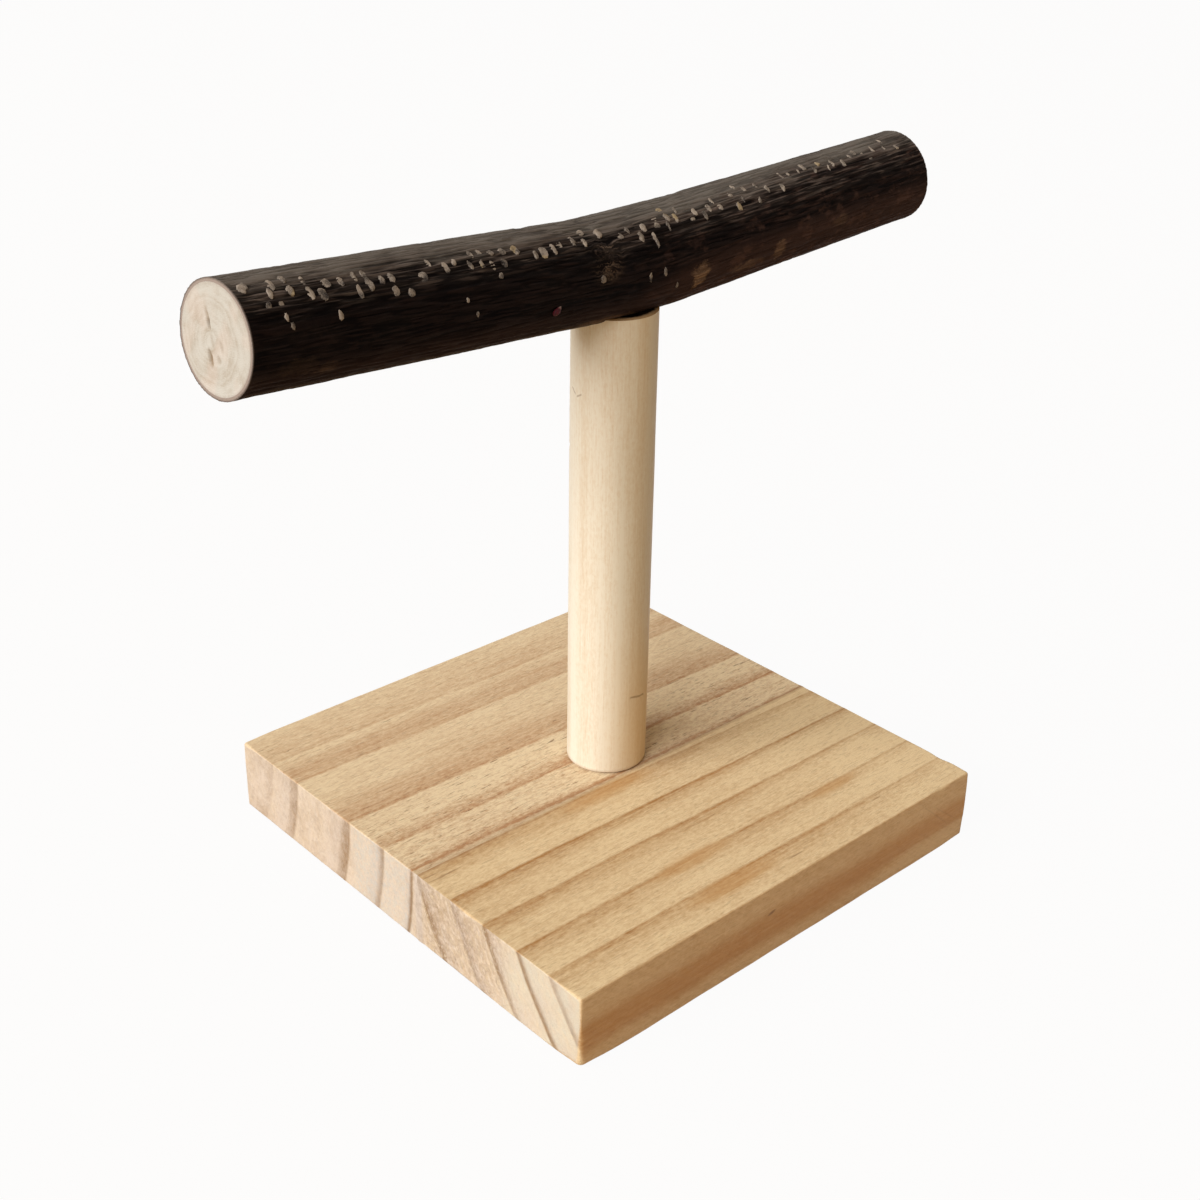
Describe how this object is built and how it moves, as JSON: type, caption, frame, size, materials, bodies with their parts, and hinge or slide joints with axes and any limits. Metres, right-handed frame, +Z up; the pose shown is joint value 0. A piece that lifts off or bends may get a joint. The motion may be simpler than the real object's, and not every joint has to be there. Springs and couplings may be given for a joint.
{
  "type": "bird perch stand",
  "caption": "Tabletop T-shaped bird perch: a natural branch with its bark on, across a round wooden post on a square pine board.",
  "frame": {"origin": "middle of the board's underside, on the surface that the stand rests on", "axes": "+Z up, +X along the board's grain and the branch, towards the branch's shorter limb"},
  "size_m": [0.1998, 0.13, 0.1638],
  "materials": {
    "pine_board": "sanded, unvarnished",
    "pale_dowel": "sanded, unvarnished",
    "branch_wood": "sawn",
    "dark_bark": "natural bark, dull",
    "zinc_screw": "zinc plated"
  },
  "bodies": {
    "root": {"base_board_rear": "pine_board", "base_board_front": "pine_board", "post": "pale_dowel", "perch_core": "branch_wood", "perch_bark": "dark_bark", "base_screw": "zinc_screw", "perch_screw": "zinc_screw"}
  },
  "joints": []
}
